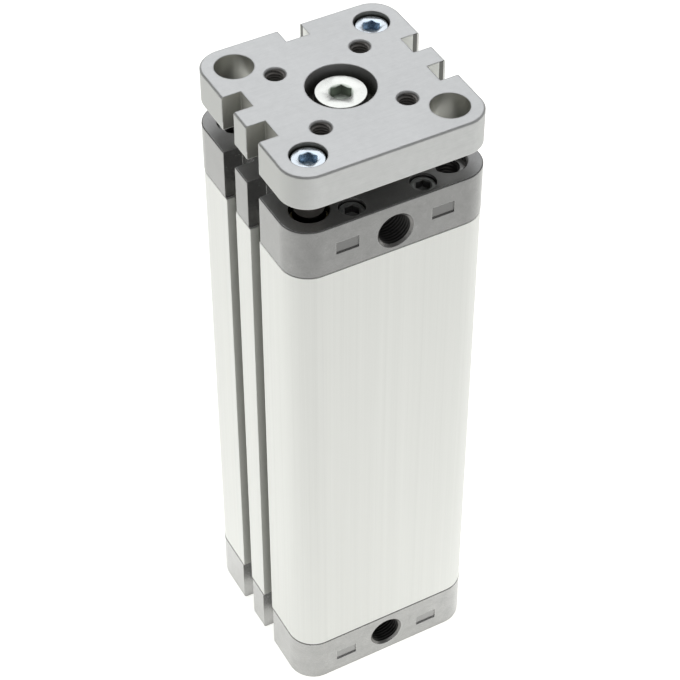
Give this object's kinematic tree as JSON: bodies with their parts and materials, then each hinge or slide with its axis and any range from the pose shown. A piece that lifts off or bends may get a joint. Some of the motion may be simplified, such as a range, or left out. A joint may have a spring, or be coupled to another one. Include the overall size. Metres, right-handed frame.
{
  "type": "compact pneumatic cylinder",
  "caption": "Guided compact pneumatic cylinder: square slotted barrel between capped ends with air ports, and a square yoke plate on a piston rod and guide rods.",
  "frame": {"origin": "middle of the rear face of the end cap", "axes": "+Z the way the rod comes out, -Y the face with the air ports"},
  "size_m": [0.0546, 0.0546, 0.1866],
  "materials": {
    "anodised_barrel": "clear anodised extrusion, satin",
    "cast_cap": "die cast, fine grained, tumbled",
    "milled_yoke": "milled and clear anodised, satin",
    "turned_aluminium": "turned",
    "zinc_steel": "bright zinc plated",
    "hard_chrome": "ground and hard chromed",
    "bearing_bronze": "oiled sintered bronze",
    "seal_rubber": "moulded, matt",
    "band_plastic": "filled bearing plastic",
    "magnet": "plastic bonded ferrite"
  },
  "bodies": {
    "cylinder": {"barrel": "anodised_barrel", "bearing_cap": "cast_cap", "end_cap": "cast_cap", "bearing_cap_screws": "zinc_steel", "end_cap_screws": "zinc_steel", "rod_bush": "bearing_bronze", "rod_seal": "seal_rubber", "guide_bush_near": "bearing_bronze", "guide_bush_far": "bearing_bronze", "front_o_ring": "seal_rubber", "rear_o_ring": "seal_rubber", "front_buffer": "seal_rubber", "rear_buffer": "seal_rubber"},
    "rod": {"piston_rod": "hard_chrome", "piston_front_half": "turned_aluminium", "piston_rear_half": "turned_aluminium", "piston_magnet": "magnet", "piston_guide_band": "band_plastic", "piston_front_seal": "seal_rubber", "piston_rear_seal": "seal_rubber", "piston_rod_o_ring": "seal_rubber", "piston_nut": "zinc_steel", "yoke_plate": "milled_yoke", "yoke_screw": "zinc_steel", "guide_rod_near": "hard_chrome", "guide_rod_far": "hard_chrome", "guide_rod_screws": "zinc_steel"}
  },
  "joints": [
    {"name": "rod_slide", "type": "slide", "parent": "cylinder", "child": "rod", "axis": [0, 0, 1], "range_m": [0, 0.125]}
  ]
}
